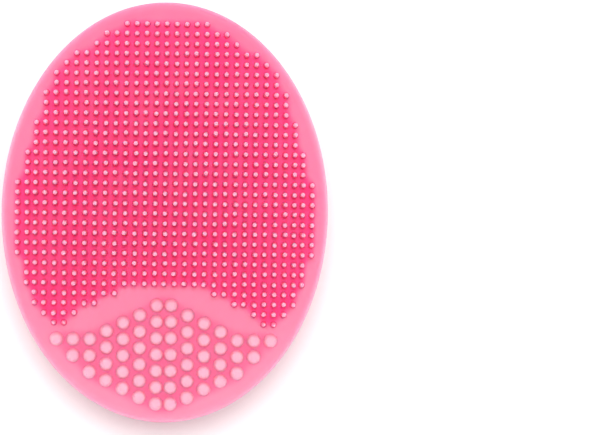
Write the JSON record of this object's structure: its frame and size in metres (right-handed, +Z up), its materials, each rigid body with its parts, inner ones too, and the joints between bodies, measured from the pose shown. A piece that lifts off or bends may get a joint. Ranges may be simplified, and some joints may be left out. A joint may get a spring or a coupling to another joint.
{
  "type": "facial cleansing brush",
  "caption": "Silicone face brush: an oval head with fine bristles and round massage nubs, on a flexible waisted stem with a flared suction foot.",
  "frame": {"origin": "on the surface the foot stands on, under the middle of the oval head", "axes": "+Z up, out of the bristled face; +X along the head's long axis, towards the end with the massage nubs"},
  "size_m": [0.076, 0.059, 0.0278],
  "materials": {
    "face_silicone": "satin",
    "bristle_silicone": "satin",
    "nub_silicone": "satin",
    "back_silicone": "satin",
    "stem_silicone": "satin",
    "foot_silicone": "satin"
  },
  "bodies": {
    "foot": {"suction_foot": "foot_silicone", "grip_stem": "stem_silicone"},
    "head": {"face_pad": "face_silicone", "fine_bristles": "bristle_silicone", "massage_nubs": "nub_silicone", "back_plate": "back_silicone"}
  },
  "joints": [
    {"name": "stem_flex", "type": "hinge", "parent": "foot", "child": "head", "pos_m": [-0.0032, 0, 0.0135], "axis": [0, 1, 0], "range_deg": [-15, 15], "stiffness_Nm_per_rad": 0.1, "deforming": ["grip_stem"]}
  ]
}
